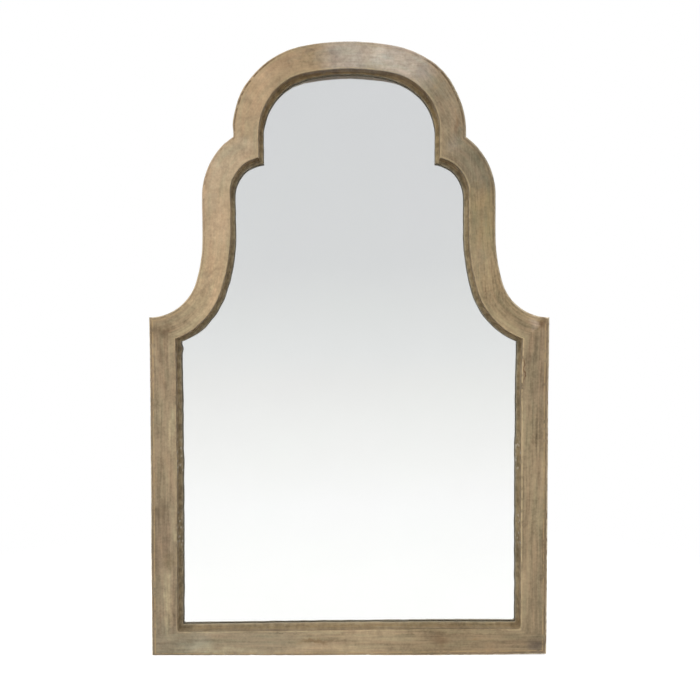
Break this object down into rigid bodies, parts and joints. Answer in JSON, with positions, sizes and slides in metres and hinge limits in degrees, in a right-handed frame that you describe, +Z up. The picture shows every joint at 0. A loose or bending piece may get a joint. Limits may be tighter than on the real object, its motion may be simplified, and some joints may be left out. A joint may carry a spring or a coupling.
{
  "type": "wall mirror",
  "caption": "Cathedral arch wall mirror: flat carved wooden frame with stepped arched top, sunk silvered glass, screwed back panel and swinging ring hangers.",
  "frame": {"origin": "middle of the underside of the bottom rail, halfway between the face of the frame and the back of the wall pads", "axes": "+Z up, +Y towards the wall, so the glass faces -Y, and +X to the right of someone who looks into the mirror"},
  "size_m": [0.662, 0.0424, 1.0162],
  "materials": {
    "frame_wood": "washed grey-brown stain, waxed",
    "dowel_wood": "bare",
    "mirror_glass": "silvered at the back",
    "foam": "matte",
    "fibreboard": "bare hardboard",
    "rubber": "matte",
    "zinc_steel": "zinc plated"
  },
  "bodies": {
    "mirror": {"bottom_rail": "frame_wood", "left_stile": "frame_wood", "right_stile": "frame_wood", "left_shoulder": "frame_wood", "right_shoulder": "frame_wood", "left_haunch": "frame_wood", "right_haunch": "frame_wood", "crown": "frame_wood", "left_mitre_dowel_outer": "dowel_wood", "left_mitre_dowel_inner": "dowel_wood", "left_neck_dowel_outer": "dowel_wood", "left_neck_dowel_inner": "dowel_wood", "left_cusp_dowel_outer": "dowel_wood", "left_cusp_dowel_inner": "dowel_wood", "left_arch_dowel_outer": "dowel_wood", "left_arch_dowel_inner": "dowel_wood", "right_mitre_dowel_outer": "dowel_wood", "right_mitre_dowel_inner": "dowel_wood", "right_neck_dowel_outer": "dowel_wood", "right_neck_dowel_inner": "dowel_wood", "right_cusp_dowel_outer": "dowel_wood", "right_cusp_dowel_inner": "dowel_wood", "right_arch_dowel_outer": "dowel_wood", "right_arch_dowel_inner": "dowel_wood", "mirror_glass": "mirror_glass", "left_glass_pad": "rubber", "right_glass_pad": "rubber", "foam_sheet": "foam", "back_panel": "fibreboard", "left_panel_screw_base": "zinc_steel", "left_panel_screw_stile_low": "zinc_steel", "left_panel_screw_stile_high": "zinc_steel", "left_panel_screw_cove": "zinc_steel", "left_panel_screw_waist": "zinc_steel", "left_panel_screw_haunch": "zinc_steel", "right_panel_screw_base": "zinc_steel", "right_panel_screw_stile_low": "zinc_steel", "right_panel_screw_stile_high": "zinc_steel", "right_panel_screw_cove": "zinc_steel", "right_panel_screw_waist": "zinc_steel", "right_panel_screw_haunch": "zinc_steel", "left_hanger_strap": "zinc_steel", "right_hanger_strap": "zinc_steel", "left_strap_screw_top": "zinc_steel", "left_strap_screw_bottom": "zinc_steel", "right_strap_screw_top": "zinc_steel", "right_strap_screw_bottom": "zinc_steel", "left_wall_pad_foot": "rubber", "left_wall_pad_haunch": "rubber", "right_wall_pad_foot": "rubber", "right_wall_pad_haunch": "rubber"},
    "left_hanging_ring": {"left_ring": "zinc_steel"},
    "right_hanging_ring": {"right_ring": "zinc_steel"}
  },
  "joints": [
    {"name": "left_ring_swing", "type": "hinge", "parent": "mirror", "child": "left_hanging_ring", "pos_m": [-0.229, 0.0171, 0.75], "axis": [1, 0, 0], "range_deg": [0, 180]},
    {"name": "right_ring_swing", "type": "hinge", "parent": "mirror", "child": "right_hanging_ring", "pos_m": [0.229, 0.0171, 0.75], "axis": [1, 0, 0], "range_deg": [0, 180]}
  ]
}
